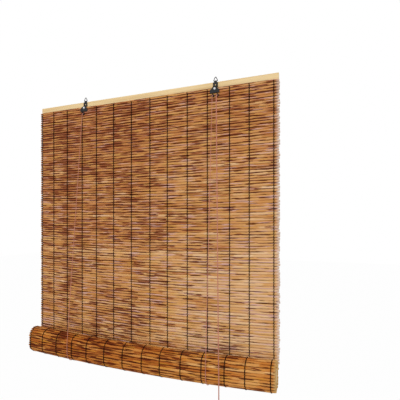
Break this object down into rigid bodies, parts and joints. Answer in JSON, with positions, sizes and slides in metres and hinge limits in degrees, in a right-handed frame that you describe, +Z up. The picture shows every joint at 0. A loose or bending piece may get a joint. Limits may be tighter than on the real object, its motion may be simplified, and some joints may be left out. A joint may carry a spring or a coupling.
{
  "type": "bamboo roll-up blind",
  "caption": "Bamboo reed blind tied with dark threads, half rolled up in cord slings, hung from a timber batten by wire rings on folded hangers.",
  "frame": {"origin": "midway between the two rings, on the line where hooks bear under the rings' peaks", "axes": "+X along the width to the viewer's right, -Y to the front, +Z up"},
  "size_m": [0.9, 0.0956, 1.0302],
  "materials": {
    "bamboo_reed": "matte, streaked",
    "rolled_reed": "matte, streaked",
    "pale_timber": "bare, planed",
    "dark_thread": "twisted thread",
    "black_sheet": "black lacquer",
    "black_wire": "black lacquer",
    "zinc": "bright zinc",
    "salmon_cord": "twisted cord",
    "turned_wood": "satin varnish"
  },
  "bodies": {
    "head": {"head_batten": "pale_timber", "left_hanger": "black_sheet", "right_hanger": "black_sheet", "hanger_rivets": "zinc", "cord_eyelets": "black_sheet", "cord_staples": "zinc", "reed_mat": "bamboo_reed", "warp_threads": "dark_thread", "left_lift_cord": "salmon_cord", "right_lift_cord": "salmon_cord", "left_back_cord": "salmon_cord", "right_back_cord": "salmon_cord", "cross_cords": "salmon_cord", "pull_cord": "salmon_cord"},
    "sling": {"left_cord_sling": "salmon_cord", "right_cord_sling": "salmon_cord"},
    "roll": {"reed_roll": "rolled_reed", "roll_threads": "dark_thread", "bottom_rail": "pale_timber"},
    "left_ring": {"left_ring": "black_wire"},
    "right_ring": {"right_ring": "black_wire"},
    "pull": {"pull_acorn": "turned_wood", "acorn_knot": "salmon_cord"}
  },
  "joints": [
    {"name": "roll_lift", "type": "slide", "parent": "head", "child": "sling", "axis": [0, 0, 1], "range_m": [0, 0.72], "deforming": ["reed_mat", "warp_threads", "left_lift_cord", "right_lift_cord", "left_back_cord", "right_back_cord"]},
    {"name": "roll_turn", "type": "hinge", "parent": "sling", "child": "roll", "pos_m": [0, -0.03539, -0.88634], "axis": [1, 0, 0], "range_deg": [-1085, 0], "deforming": ["left_cord_sling", "right_cord_sling"]},
    {"name": "cord_pull", "type": "slide", "parent": "head", "child": "pull", "axis": [0, 0, -1], "range_m": [0, 1.44], "deforming": ["pull_cord"]},
    {"name": "left_ring_swing", "type": "hinge", "parent": "head", "child": "left_ring", "pos_m": [-0.2439, 0, -0.01171], "axis": [1, 0, 0], "range_deg": [-80, 80]},
    {"name": "right_ring_swing", "type": "hinge", "parent": "head", "child": "right_ring", "pos_m": [0.2556, 0, -0.01171], "axis": [1, 0, 0], "range_deg": [-80, 80]}
  ],
  "couplings": [
    {"joint": "roll_turn", "follows": "roll_lift", "rad_per_m": -26.18},
    {"joint": "cord_pull", "follows": "roll_lift", "ratio": 2}
  ]
}
